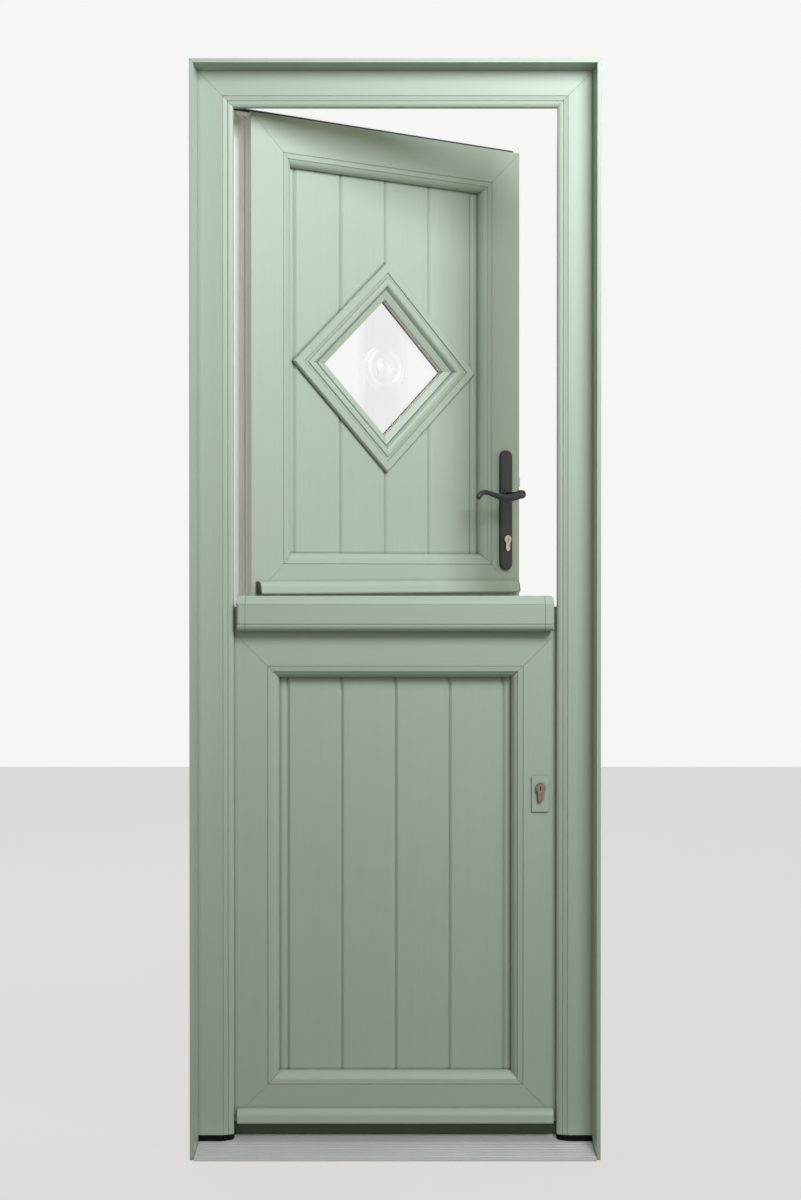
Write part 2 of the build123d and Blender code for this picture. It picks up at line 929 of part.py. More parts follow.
def lever_path(y):
    """Centre line of an S-shaped arm: it dips, rises and curls down at the tip."""
    reach = lever_length
    return Spline(
        Vector(lock_x, y, spindle_height),
        Vector(lock_x - reach * 0.27, y, spindle_height - lever_dip),
        Vector(lock_x - reach * 0.55, y, spindle_height - lever_dip * 0.4),
        Vector(lock_x - reach * 0.82, y, spindle_height + lever_crest),
        Vector(lock_x - reach, y, spindle_height - lever_dip * 0.4),
        tangents=((-0.8, 0, -0.6), (-0.3, 0, -0.95)),
    )


def lever_section(radius):
    """Flattened many-sided section of the lever's arm."""
    turns = [2 * math.pi * index / lever_sides for index in range(lever_sides)]
    points = [(radius * math.cos(t), radius * lever_flatness * math.sin(t)) for t in turns]
    return Polygon(*points, align=None)


def lever_arm(path):
    """Sections that shrink from the shoulder to the rounded tip."""
    sections = []
    for index in range(lever_stations + 1):
        share = index / lever_stations
        radius = lever_root + (lever_tip - lever_root) * share ** 0.7
        sections.append(path.location_at(share) * lever_section(radius))
    end = path.location_at(1) * Pos(0, 0, lever_tip * 0.7)
    sections.append(end * lever_section(lever_tip * 0.5))
    return loft(sections, ruled=True)


def lever(side):
    """Forged lever: a turned neck and shoulder, and a tapering S-shaped arm."""
    face = leaf_front if side < 0 else leaf_back
    y = face + side * (plate_thickness + lever_standoff)
    root = face + side * plate_thickness * spindle_seat
    near, far = sorted((root, y + side * shoulder_rise))
    neck = rod_y(lock_x, spindle_height, neck_radius, near, far)
    near, far = sorted((y - side * shoulder_rise, y + side * shoulder_rise))
    shoulder = rod_y(lock_x, spindle_height, shoulder_radius, near, far)
    shoulder = chamfer(shoulder.edges().filter_by(GeomType.CIRCLE), shoulder_chamfer)
    return neck + shoulder + lever_arm(lever_path(y))


def spindle():
    """Square bar that joins the two levers."""
    start = leaf_front - plate_thickness * spindle_seat
    end = leaf_back + plate_thickness * spindle_seat
    half = spindle_side / 2
    return block(lock_x - half, lock_x + half, start, end, spindle_height - half,
                 spindle_height + half)


def escutcheon(y_from):
    """Plate round the lower cylinder."""
    half = escutcheon_width / 2
    tall = escutcheon_height / 2
    plate = block(lock_x - half, lock_x + half, y_from, y_from + escutcheon_thickness,
                  escutcheon_centre_height - tall, escutcheon_centre_height + tall)
    plate = fillet(plate.edges().filter_by(Axis.Y), escutcheon_radius)
    return plate - cylinder_hole(lower_cylinder_height, fit_clearance)


# Hinges

def hinge_frame_part(z):
    """Lower knuckle, its arm and the plate on the frame's inside face."""
    low = z - hinge_height / 2
    arm_left = hinge_x - hinge_radius - hinge_arm_reach
    arm_foot = arm_left - hinge_arm_overlap
    front = frame_depth
    plate_left = arm_left - frame_plate_width
    plate = block(plate_left, hinge_x - hinge_radius, front, front + frame_plate_thickness,
                  low, low + hinge_height)
    arm = outline(
        (arm_foot, front),
        (hinge_x - pin_radius, front),
        (hinge_x - pin_radius, hinge_y - hinge_radius + overrun),
        (hinge_x, hinge_y),
        ((hinge_x - hinge_radius, hinge_y), (arm_foot, hinge_y - hinge_arm_drop)),
    )
    arm = Pos(0, 0, low) * upright(arm, hinge_height / 2)
    knuckle = rod_z(hinge_x, hinge_y, hinge_radius, low, z)
    return plate + arm + knuckle - rod_z(hinge_x, hinge_y, pin_radius, low + pin_end,
                                        z + overrun)


def hinge_leaf_part(z):
    """Upper knuckle and the flag plate on the leaf's inside face."""
    low = z - hinge_height / 2
    high = z + hinge_height / 2
    start = z + hinge_gap
    left = hinge_x + hinge_radius + flag_gap
    plate = block(left, left + hinge_flag_width, leaf_back,
                  leaf_back + hinge_flag_thickness, low, high)
    plate = fillet(plate.edges().filter_by(Axis.Y).group_by(Axis.X)[-1], flag_corner)
    web = block(hinge_x, left + overrun, leaf_back + hinge_web_gap, leaf_back + hinge_flag_thickness,
                start, high)
    knuckle = rod_z(hinge_x, hinge_y, hinge_radius, start, high)
    bore = rod_z(hinge_x, hinge_y, pin_radius + running_clearance, start - overrun,
                 high - pin_end)
    return plate + web + knuckle - bore


def hinge_pin(z):
    """Steel pin, fixed in the lower knuckle."""
    return rod_z(hinge_x, hinge_y, pin_radius, z - hinge_height / 2 + pin_end,
                 z + hinge_height / 2 - pin_end - hinge_gap)


def hinge_heights(z_from, z_to):
    """Centres of a leaf's two hinges."""
    return z_from + hinge_end_distance, z_to - hinge_end_distance


# Tie bolt

def tie_guides():
    """Bottoms of the two guide loops on the housing."""
    low = upper_leaf_bottom - flange_reach + tie_plate_margin
    return low, low + tie_plate_height - tie_guide_height


def tie_loop(z_from, z_to, face):
    """Guide loop round the rod."""
    y = face + tie_standoff
    half = tie_rod_radius + tie_guide_wall
    shape = outline((-half, face), (-half, y), ((0, y + half), (half, y)), (half, face))
    loop = Pos(tie_place, 0, z_from) * upright(shape, z_to - z_from)
    bore = tie_rod_radius + running_clearance
    return loop - rod_z(tie_place, y, bore, z_from - overrun, z_to + overrun)


def tie_bolt_housing():
    """Plate with two guide loops, on the upper leaf's bottom rail."""
    low = tie_guides()[0]
    half = tie_plate_width / 2
    plate = block(tie_place - half, tie_place + half, leaf_back,
                  leaf_back + tie_plate_thickness, low, low + tie_plate_height)
    plate = fillet(plate.edges().filter_by(Axis.Y), tie_plate_corner)
    for bottom in tie_guides():
        plate += tie_loop(bottom, bottom + tie_guide_height, leaf_back)
    return plate


def tie_bolt():
    """Sliding rod with a knob between the guides."""
    low, high = tie_guides()
    y = leaf_back + tie_standoff
    rod = rod_z(tie_place, y, tie_rod_radius, low, low + tie_rod_length)
    rod = chamfer(rod.edges().group_by(Axis.Z)[0], tie_rod_chamfer)
    knob_z = high - tie_knob_radius - tie_knob_gap
    start = y + tie_rod_radius + tie_stem_length
    knob = rod_y(tie_place, knob_z, tie_knob_radius, start, start + tie_knob_length)
    knob = chamfer(knob.edges().filter_by(GeomType.CIRCLE), tie_knob_length / 4)
    stem = rod_y(tie_place, knob_z, tie_rod_radius * 0.6, y, start + overrun)
    return rod + stem + knob


def tie_bolt_keep():
    """Loop on the lower leaf's top rail that takes the rod's end."""
    top = lower_leaf_top + flange_reach - tie_knob_gap
    bottom = top - tie_keep_height
    half = tie_plate_width / 2
    plate = block(tie_place - half, tie_place + half, leaf_back,
                  leaf_back + tie_plate_thickness, bottom - tie_keep_plate_drop, top)
    plate = fillet(plate.edges().filter_by(Axis.Y), tie_plate_corner)
    return plate + tie_loop(bottom, top, leaf_back)


# Assembly

def lower_leaf_parts():
    """Everything that swings with the lower leaf, and its lock's moving pieces."""
    low, high = leaf_bottom, lower_leaf_top
    left, top, right, bottom = leaf_members(low, high)
    case_low = lower_cylinder_height - case_below_cylinder
    case_high = lower_bolt_height + case_above_bolt
    right -= case_pocket(case_low, case_high)
    right -= cylinder_hole(lower_cylinder_height, fit_clearance)
    ends = (leaf_front - lower_cylinder_proud, leaf_back + lower_cylinder_proud)
    hinges = [hinge_leaf_part(z) for z in hinge_heights(low, high)]
    case = lock_case(case_low, case_high, lower_cylinder_height,
                     [(lower_bolt_height, bolt_tall, bolt_width, bolt_rear)])
    return {
        "lower_stile_hinge_side": left,
        "lower_stile_lock_side": right,
        "lower_rail_top": top,
        "lower_rail_bottom": bottom,
        "lower_panel": grooved_panel(low, high),
        "lower_glazing_beads": glazing_beads(low, high),
        "lower_leaf_seals": [leaf_seal(low, high), bar_seal()],
        "lower_drip_bar": drip_bar(low + lower_drip_rise, bar_half),
        "meeting_bar": meeting_bar(),
        "meeting_bar_end_caps": [bar_cap(-1), bar_cap(1)],
        "lower_escutcheons": [escutcheon(leaf_front - escutcheon_thickness),
                              escutcheon(leaf_back)],
        "lower_cylinder": lock_cylinder(lower_cylinder_height, *ends),
        "lower_cylinder_plug": cylinder_plug(lower_cylinder_height, *ends),
        "lower_lock_case": case,
        "lower_deadbolt": dead_bolt(lower_bolt_height),
        "lower_hinge_leaf_parts": hinges,
        "tie_bolt_keep": tie_bolt_keep(),
    }


def upper_leaf_parts():
    """Everything that swings with the upper leaf, modelled shut."""
    low, high = upper_leaf_bottom, upper_leaf_top
    left, top, right, bottom = leaf_members(low, high)
    case_low = upper_cylinder_height - case_below_cylinder
    case_high = latch_height + case_above_latch
    right -= case_pocket(case_low, case_high)
    right -= cylinder_hole(upper_cylinder_height, fit_clearance)
    bottom -= case_pocket(case_low, case_high)
    right -= rod_y(lock_x, spindle_height, neck_radius + fit_clearance, 0, beyond)
    ends = (leaf_front - plate_thickness - upper_cylinder_proud,
            leaf_back + plate_thickness + upper_cylinder_proud)
    hinges = [hinge_leaf_part(z) for z in hinge_heights(low, high)]
    bolts = [(upper_bolt_height, bolt_tall, bolt_width, bolt_rear),
             (latch_height, latch_tall, latch_width, latch_rear)]
    case = lock_case(case_low, case_high, upper_cylinder_height, bolts, spindle_height)
    panel = grooved_panel(low, high)
    panel -= diamond_plate(pane_side() + 2 * pane_clearance, 0, beyond)
    moulding = diamond_moulding()
    middle = Plane(origin=(0, (panel_front + panel_back) / 2, 0), z_dir=(0, 1, 0))
    outer_pane, inner_pane, spacer = window_parts()
    return {
        "upper_stile_hinge_side": left,
        "upper_stile_lock_side": right,
        "upper_rail_top": top,
        "upper_rail_bottom": bottom,
        "upper_panel": panel,
        "upper_glazing_beads": glazing_beads(low, high),
        "upper_leaf_seal": leaf_seal(low, high),
        "upper_drip_bar": drip_bar(low + upper_drip_rise, bar_half),
        "diamond_moulding_outside": moulding,
        "diamond_moulding_inside": moulding.mirror(middle),
        "glass_outer_pane": outer_pane,
        "glass_inner_pane": inner_pane,
        "glass_spacer": spacer,
        "backplate_outside": backplate(-1),
        "backplate_inside": backplate(1),
        "lever_outside": lever(-1),
        "lever_inside": lever(1),
        "spindle": spindle(),
        "upper_cylinder": lock_cylinder(upper_cylinder_height, *ends),
        "upper_cylinder_plug": cylinder_plug(upper_cylinder_height, *ends),
        "upper_lock_case": case,
        "upper_latch": latch_bolt(),
        "upper_deadbolt": dead_bolt(upper_bolt_height),
        "upper_hinge_leaf_parts": hinges,
        "tie_bolt_housing": tie_bolt_housing(),
        "tie_bolt": tie_bolt(),
    }


def frame_parts():
    """Everything that stays with the frame."""
    hinge_jamb, head, lock_jamb = frame_members()
    left_trim, head_trim, right_trim = trim_members()
    latch_hole, upper_hole, lower_hole = strike_holes()
    lower_heights = hinge_heights(leaf_bottom, lower_leaf_top)
    upper_heights = hinge_heights(upper_leaf_bottom, upper_leaf_top)
    return {
        "frame_jamb_hinge_side": hinge_jamb,
        "frame_head": head,
        "frame_jamb_lock_side": lock_jamb,
        "trim_hinge_side": left_trim,
        "trim_head": head_trim,
        "trim_lock_side": right_trim,
        "threshold": threshold(),
        "threshold_seal": threshold_seal(),
        "threshold_end_pads": threshold_pads(),
        "frame_seal": frame_seal(),
        "strike_upper": strike([latch_hole, upper_hole]),
        "strike_lower": strike([lower_hole]),
        "lower_hinge_frame_parts": [hinge_frame_part(z) for z in lower_heights],
        "upper_hinge_frame_parts": [hinge_frame_part(z) for z in upper_heights],
        "hinge_pins": [hinge_pin(z) for z in lower_heights + upper_heights],
    }


def opened(shape):
    """Turn a piece of the shut upper leaf to its rest position."""
    axis = Pos(hinge_x, hinge_y, 0)
    return axis * Rot(0, 0, rest_opening) * axis.inverse() * shape


def save(parts, place=lambda shape: shape):
    """Write one STEP file for each named piece."""
    for name, shape in parts.items():
        pieces = shape if isinstance(shape, list) else [shape]
        solids = [place(solid) for piece in pieces for solid in piece.solids()]
        result = solids[0] if len(solids) == 1 else Compound(solids)
        export_step(result, f"parts/{name}.step")


def main():
    os.makedirs("parts", exist_ok=True)
    save(frame_parts())
    save(lower_leaf_parts())
    save(upper_leaf_parts(), opened)


main()
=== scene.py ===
import math

import bpy
from mathutils import Matrix, Vector


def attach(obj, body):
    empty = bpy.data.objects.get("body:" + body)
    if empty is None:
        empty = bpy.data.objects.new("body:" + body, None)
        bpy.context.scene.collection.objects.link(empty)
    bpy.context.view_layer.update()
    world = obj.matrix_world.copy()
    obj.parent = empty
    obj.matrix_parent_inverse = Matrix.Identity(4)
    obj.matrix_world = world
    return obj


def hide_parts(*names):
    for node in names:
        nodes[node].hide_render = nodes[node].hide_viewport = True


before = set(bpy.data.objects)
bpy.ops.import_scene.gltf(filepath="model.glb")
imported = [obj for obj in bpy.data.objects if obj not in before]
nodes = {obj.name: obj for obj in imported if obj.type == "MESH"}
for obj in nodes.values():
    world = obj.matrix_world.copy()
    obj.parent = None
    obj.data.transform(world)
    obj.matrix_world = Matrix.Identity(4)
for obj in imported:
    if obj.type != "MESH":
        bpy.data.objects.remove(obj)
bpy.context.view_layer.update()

MM = 1000  # millimetres in a metre

# Hinge pins' axis, and the upper leaf's rest opening about it
HINGE = Vector((-0.341, 0.099, 0))
REST_OPENING = math.radians(30.8)

# Leaf and frame profiles in metres, with the leaves shut
LEAF_FRONT = 0.020
LEAF_BACK = 0.090
LEAF_HALF = 0.312
LOWER_LEAF = (0.053, 0.987)
UPPER_LEAF = (1.042, 1.976)
FRAME_HALF = 0.375
FRAME_TOP = 2.042

# Depths (y) past which foil gives way to white: on the frame, a leaf's flank and inside.
# The flank is what lies within the reach of a leaf's outer edges.
STOP_BACK = 0.0165
FOIL_RETURN = 0.0212
LEAF_INSIDE = 0.060
GROOVE_REACH = 0.0055

# Fine lines: ribs of the flank by depth, painted dark as the shade in its grooves; the meeting
# bar's end joints by distance from the middle; and its two creases by height, the upper
# painted dark as the shade in its groove
FLANK_RIBS = (0.0265, 0.0315, 0.0585, 0.0655)
BAR_SEAM = 0.2825
BAR_CREASE_SHADE = 1.0345
BAR_NOSE = 0.9985
SEAM_WIDTH = 0.00045
SLANT = math.sqrt(0.5)

# Window, in metres; the relief is height by share of the radius
WINDOW_CENTRE = 1.509
BULLSEYE_RADIUS = 0.046
BULLSEYE_RELIEF = (
    (0, 0.7), (0.1, 0.25), (0.3, 0.3), (0.37, 0.95), (0.44, 0.35), (0.78, 0.3), (0.86, 0.6),
    (0.93, 1.0), (1.0, 0.0),
)

# Lever furniture: its place in metres
LOCK_X = 0.275
SPINDLE_HEIGHT = 1.256
PLATE_TOP = 0.009

# Forged arm: centre line, radii along it and standoff in millimetres
FORGED_LINE = (
    (0, 0), (-13, -4.6), (-30, -8.4), (-48, -7.2), (-65, -3.0), (-79, 1.0), (-91, 2.0),
    (-100, -1.6), (-104.5, -7.5),
)
FORGED_RADII = (8.0, 8.2, 7.5, 6.3, 5.4, 5.0, 5.0, 5.4, 5.6)
LEVER_STANDOFF = 50
ARM_STATIONS = 44
ARM_SIDES = 24
ARM_FLATNESS = 0.84
TIP_STEPS = 6
TANGENT_STEP = 0.01
END_MARGIN = 1e-6

# Turned knob: radius and reach from the backplate in millimetres
KNOB_PROFILE = (
    (6.4, 4), (6.4, 38), (7.2, 40.5), (8.6, 43), (9.0, 45.5), (9.0, 53.5), (8.5, 55.5),
    (7.0, 56.7), (5.2, 56.8), (4.6, 56.1), (0.01, 56.0),
)
KNOB_SIDES = 40

# Upper drip bar's end: half length, foot and cap in metres, outline in millimetres
BAR_HALF = 0.299
DRIP_FOOT = 1.0535
CAP_THICKNESS = 0.0022
CAP_BEVEL = 0.0006
CAP_INSET = 0.6
DRIP_MIDDLE = (10, 12.5)
DRIP_END = (
    (20, 0), (5, 0), (1, 1), (0, 5), (1.6, 15), (5, 21.5), (10, 24.4), (15, 25), (20, 25),
)

# Screw head: reach and rise of its rings as shares of the radius, with a cross recess
HEAD_PROFILE = ((1.0, -0.5), (1.0, 0.12), (0.88, 0.2), (0.6, 0.26), (0.34, 0.28), (0.12, 0.28))
HEAD_SIDES = 16
RECESS_ARMS = 4
RECESS_REACH = 0.7
RECESS_DEPTH = 0.3
FIRST_TURN = 0.4

# Hinges: heights of their middles, and screws of their two plates about each, in millimetres
LOWER_HINGES = (203, 837)
UPPER_HINGES = (1192, 1826)
LEAF_PLATE = ((-284, 95, 32), (-284, 95, -32), (-306, 95, 0))
FRAME_PLATE = ((-366, 74, 34), (-366, 74, -34))

# Screws by group in millimetres: places, the way that the heads face, and their radius
TO_ROOM = (0, 1, 0)
TO_LOCK_SIDE = (1, 0, 0)
TO_HINGE_SIDE = (-1, 0, 0)
STRIKES = ([(321, 45.25, z) for z in (1173, 1311, 695, 757)], TO_HINGE_SIDE, 3.6)
KEEP = ([(150 + x, 93, 979) for x in (-11, 11)], TO_ROOM, 2.6)
ESCUTCHEON = ([(275, 93, z) for z in (647, 705)], TO_ROOM, 2.4)
LOWER_LOCK = ([(311, 45.25, z) for z in (609, 786)], TO_LOCK_SIDE, 3.4)
HOUSING = ([(150 + x, 93, z) for x in (-11.5, 11.5) for z in (1056, 1088)], TO_ROOM, 3)
UPPER_LOCK = ([(311, 45.25, z) for z in (1086, 1340)], TO_LOCK_SIDE, 3.4)
BACKPLATE = ([(275, 99, z) for z in (1119, 1331)], TO_ROOM, 4)
LEAF_PLATE_HEAD = 4
FRAME_PLATE_HEAD = 3.6

# Colours as they look on screen, 0 to 255
SAGE = (170, 184, 168)
WHITE = (243, 242, 237)
CAP_GREEN = (64, 82, 64)
BLACK_COAT = (38, 38, 40)
RUBBER = (36, 38, 36)
# Painted shade: the sweep seal sits in the dark gap under the lower leaf and takes that gap's
# dark green
SWEEP_SHADE_GREEN = (58, 68, 52)
ALUMINIUM = (214, 215, 215)
SPACER = (238, 232, 224)
NICKEL = (188, 180, 158)
# The lower cylinder's nickel, darkened as painted shade and dark reflection
SHADED_NICKEL = (138, 126, 112)
STEEL = (182, 184, 186)
PACKER = (16, 18, 16)
HINGE_WHITE = (226, 225, 219)
FLOOR_DARK = (116, 113, 108)
FLOOR_LIGHT = (124, 121, 116)
FLOOR_SHOWN = (238, 237, 234)
BACKDROP = (246, 246, 244)

# Shared by the finishes: stretches of a noise that a ramp covers, and sampling
MIDDLE = (0.35, 0.65)
WIDE = (0.3, 0.7)
NOISE_ROUGHNESS = 0.55
EDGE_SAMPLES = 4
CREVICE_SAMPLES = 6

# Sockets of a mix node that carry colours
MIX_COLOURS = (6, 7)
MIX_RESULT = 2

# Foil: noise scales per metre, shades of its colours, range of its roughness, relief as
# strength and distance. A crevice shade is painted shade: a crevice's reach in metres and how
# much ambient occlusion darkens the colour there.
GRAIN_SCALES = {"x": (14, 900, 900), "z": (900, 900, 14)}
BAND_SHARE = 0.16
FOIL_CLOUD = 5
BAND_SHADES = (0.975, 1.025)
PORE_SHADES = (0.93, 1.02)
PORE_STRETCH = (0.28, 0.46)
PORE_SHARE = 0.5
WHITE_SHADES = (0.97, 1.0)
RIB_SHADE = 0.5
MITRE_SHADE = 0.66
BAR_LINE_SHADE = 0.4
FOIL_GLOSS = 0.3
FOIL_ROUGHNESS = 0.4
FOIL_SPREAD = (0.34, 0.46)
FOIL_RELIEF = (0.14, 0.0004)
FOIL_EDGE = 0.0012
FOIL_CREVICE_SHADE = (0.008, 0.45)
WHITE_CREVICE_SHADE = (0.004, 0.2)
# The panel's grooves take a strong painted shade in their crevices
GROOVED = {"edge": 0.0004, "crevice_shade": (0.006, 1.0)}

# Moulded and coated finishes; a spread is a range of roughness by share of its mean
PLAIN_CLOUD = 9
PLAIN_SHADES = (0.97, 1.03)
PLAIN_SPREAD = (0.85, 1.15)
PLAIN_RELIEF = 0.25
PLAIN_EDGE = 0.0006
# Painted shade in crevices: reach in metres and how much it darkens
PLAIN_CREVICE_SHADE = (0.006, 0.4)
RUBBER_DEPTH = 0.0002

# Metals
METAL_CLOUD = 12
METAL_SHADES = (0.9, 1.05)
METAL_SPREAD = (0.75, 1.3)
METAL_RELIEF = (0.2, 0.0002)
METAL_EDGE = 0.0005
# Painted shade in crevices: reach in metres and how much it darkens
METAL_CREVICE_SHADE = (0.004, 0.5)
SILL_CREVICE_SHADE = (0.0025, 0.9)
SILL_LINES = (6, 900, 900)
PLATED_GRAIN = (300, 300, 60)
NICKEL_GRAIN = (300, 300, 300)
SCREW_GRAIN = (500, 500, 500)

# Glass
GLASS_INDEX = 1.45
GLASS_WAVES = 7
WAVE_HEIGHT = 0.2
GLASS_RELIEF = (0.9, 0.0018)

# Studio: light from all round, floor, and lamps as place, target, size, watts and tint
AMBIENT = 0.24
AMBIENT_TINT = (1.0, 0.975, 0.85)
FLOOR_HALF = 6.0
FLOOR_CLOUD = 1.5
FLOOR_ROUGHNESS = 0.8
FLOOR_SHARE = 0.8
LAMPS = {
    "key_lamp": ((1.0, -1.6, 2.55), (0, 0, 1.9), 1.0, 61, (0.9, 0.93, 1.0)),
    "fill_lamp": ((-0.5, -3.3, 1.5), (0, 0, 1.3), 1.2, 7.4, (1.0, 0.965, 0.78)),
    "room_lamp": ((1.7, 0.6, 1.5), (0.15, 0.3, 1.5), 0.8, 4.5, (1.0, 0.9, 0.55)),
    "back_lamp": ((-1.6, 3.2, 2.4), (0, 0.1, 1.2), 1.8, 78, (1.0, 0.995, 0.98)),
}

# Camera, fitted to the photograph's perspective
PHOTO_HEIGHT = 1200
FOCAL_PIXELS = 1640
PRINCIPAL_ROW = 579
SENSOR = 36.0
CAMERA_PLACE = (0.0099, -3.090, 1.105)
CAMERA_PITCH = 0.007

# Upper leaf's place at rest, from its place when shut
ajar = (Matrix.Translation(HINGE) @ Matrix.Rotation(REST_OPENING, 4, "Z")
        @ Matrix.Translation(-HINGE))


def linear(colour):
    """Linear colour with alpha from screen values, by the sRGB curve."""
    values = [c / 255 for c in colour]
    return [v / 12.92 if v <= 0.04045 else ((v + 0.055) / 1.055) ** 2.4 for v in values] + [1]


def shade(colour, factor):
    """Linear colour, lighter or darker by a factor."""
    return [c * factor for c in linear(colour)[:3]] + [1]


def set_inputs(node, values):
    """Set a node's inputs, each named with _ for a space."""
    for key, value in values.items():
        node.inputs[key.replace("_", " ")].default_value = value


class Shader:
    """A material under construction: its node tree and shader."""

    def __init__(self, name, **values):
        """Start a material, with constants on the shader's own sockets."""
        self.material = bpy.data.materials.new(name)
        self.material.use_nodes = True
        self.tree = self.material.node_tree
        self.bsdf = self.tree.nodes["Principled BSDF"]
        set_inputs(self.bsdf, values)

    def add(self, kind, **values):
        """New node with constants on its inputs."""
        node = self.tree.nodes.new(kind)
        set_inputs(node, values)
        return node

    def link(self, output, target):
        """Lead a node's output to an input."""
        self.tree.links.new(output, target)

    def shut(self, turned=False):
        """Coordinates with the leaf shut; turned is for what rides on the upper leaf."""
        source = self.add("ShaderNodeTexCoord")
        if not turned:
            return source.outputs["Object"]
        place = self.add("ShaderNodeMapping", Location=ajar.inverted().translation,
                         Rotation=(0, 0, -REST_OPENING))
        self.link(source.outputs["Object"], place.inputs["Vector"])
        return place.outputs["Vector"]

    def noise(self, vector, scale, detail):
        """Noise stretched by a scale along each axis."""
        stretch = self.add("ShaderNodeMapping", Scale=scale)
        self.link(vector, stretch.inputs["Vector"])
        node = self.add("ShaderNodeTexNoise", Scale=1.0, Detail=detail,
                        Roughness=NOISE_ROUGHNESS)
        self.link(stretch.outputs["Vector"], node.inputs["Vector"])
        return node.outputs["Fac"]

    def math(self, operation, first, second=None):
        """Math node on sockets or numbers."""
        node = self.add("ShaderNodeMath")
        node.operation = operation
        for slot, value in zip(node.inputs, (first, second)):
            if isinstance(value, (int, float)):
                slot.default_value = value
            elif value is not None:
                self.link(value, slot)
        return node.outputs[0]

    def axes(self, vector):
        """The x, y and z of a vector."""
        node = self.add("ShaderNodeSeparateXYZ")
        self.link(vector, node.inputs[0])
        return node.outputs

    def between(self, factor, low, high, stretch=MIDDLE):
        """Colour ramp from low to high over a stretch of the factor."""
        ramp = self.add("ShaderNodeValToRGB")
        stops = zip(ramp.color_ramp.elements, stretch, (low, high))
        for element, position, colour in stops:
            element.position = position
            element.color = colour
        self.link(factor, ramp.inputs["Fac"])
        return ramp.outputs["Color"]

    def tints(self, factor, colour, shades, stretch=MIDDLE):
        """Ramp between two shades of a colour."""
        low, high = shades
        return self.between(factor, shade(colour, low), shade(colour, high), stretch)

    def curve(self, factor, stops):
        """Height that follows smooth stops of (place, value)."""
        ramp = self.add("ShaderNodeValToRGB")
        ramp.color_ramp.interpolation = "B_SPLINE"
        elements = ramp.color_ramp.elements
        while len(elements) < len(stops):
            elements.new(0.5)
        for element, (place, value) in zip(elements, stops):
            element.position = place
            element.color = (value, value, value, 1)
        self.link(factor, ramp.inputs["Fac"])
        return ramp.outputs["Color"]

    def mix(self, factor, first, second, blend="MIX"):
        """Blend two colours, each a socket or a value."""
        node = self.add("ShaderNodeMix")
        node.data_type = "RGBA"
        node.blend_type = blend
        slots = [node.inputs["Factor"], *(node.inputs[index] for index in MIX_COLOURS)]
        for slot, value in zip(slots, (factor, first, second)):
            if isinstance(value, (int, float, list)):
                slot.default_value = value
            else:
                self.link(value, slot)
        return node.outputs[MIX_RESULT]

    def level(self, factor, low, high):
        """Map a factor of 0 to 1 onto a range."""
        node = self.add("ShaderNodeMapRange", To_Min=low, To_Max=high)
        self.link(factor, node.inputs["Value"])
        return node.outputs["Result"]

    def bump(self, height, strength, distance, normal=None):
        """Normals that follow a height, over other normals if given."""
        node = self.add("ShaderNodeBump", Strength=strength, Distance=distance)
        self.link(height, node.inputs["Height"])
        if normal:
            self.link(normal, node.inputs["Normal"])
        return node.outputs["Normal"]

    def soft_edges(self, radius):
        """Normals that round every sharp edge a little."""
        node = self.add("ShaderNodeBevel", Radius=radius)
        node.samples = EDGE_SAMPLES
        return node.outputs["Normal"]

    def painted_crevice_shade(self, colour, crevice_shade):
        """Painted shade: colour darkened by ambient occlusion in narrow grooves and corners.
        """
        distance, depth = crevice_shade
        node = self.add("ShaderNodeAmbientOcclusion", Distance=distance)
        node.samples = CREVICE_SAMPLES
        kept = self.level(node.outputs["AO"], 1 - depth, 1.0)
        return self.mix(1.0, colour, kept, "MULTIPLY")

    def surface(self, colour, roughness, normal):
        """Link the shader's colour, roughness and normal."""
        for name, output in (("Base Color", colour), ("Roughness", roughness),
                             ("Normal", normal)):
            self.link(output, self.bsdf.inputs[name])


def uncovered(made, vector, outline, back):
    """1 where the profile's white shows: behind the foil's return and inside the door."""
    x, y, z = made.axes(vector)
    inside = made.math("GREATER_THAN", y, back)
    if outline is None:
        return inside
    half, low, high = outline
    beside = made.math("GREATER_THAN", made.math("ABSOLUTE", x), half - GROOVE_REACH)
    above = made.math("GREATER_THAN", z, high - GROOVE_REACH)
    below = made.math("LESS_THAN", z, low + GROOVE_REACH)
    around = made.math("MAXIMUM", beside, made.math("MAXIMUM", above, below))
    flank = made.math("MULTIPLY", around, made.math("GREATER_THAN", y, FOIL_RETURN))
    return made.math("MAXIMUM", inside, flank)


def thin_lines(made, pairs):
    """1 where a place is within a seam's width of its offset, for any of the pairs."""
    total = None
    for place, offset in pairs:
        gap = made.math("ABSOLUTE", made.math("SUBTRACT", place, offset))
        near = made.math("LESS_THAN", gap, SEAM_WIDTH)
        total = near if total is None else made.math("MAXIMUM", total, near)
    return total


def seams(made, vector, lines):
    """1 along lines kx|x| + kz z = offset, such as mitres and butt joints."""
    x, _, z = made.axes(vector)
    across = made.math("ABSOLUTE", x)
    pairs = []
    for kx, kz, offset in lines:
        aside, up = made.math("MULTIPLY", across, kx), made.math("MULTIPLY", z, kz)
        pairs.append((made.math("ADD", aside, up), offset))
    return thin_lines(made, pairs)


def painted_rib_shade(made, vector):
    """1 along the fine grooves of the profile's flank, where their shade is painted as dark
    lines.
    """
    _, y, _ = made.axes(vector)
    return thin_lines(made, [(y, place) for place in FLANK_RIBS])


def mitres(half, low, high):
    """Lines of a rectangle's corner mitres, centred on x = 0, or of its upper two."""
    lines = [(SLANT, -SLANT, SLANT * (half - high))]
    if low is not None:
        lines.append((SLANT, SLANT, SLANT * (half + low)))
    return lines


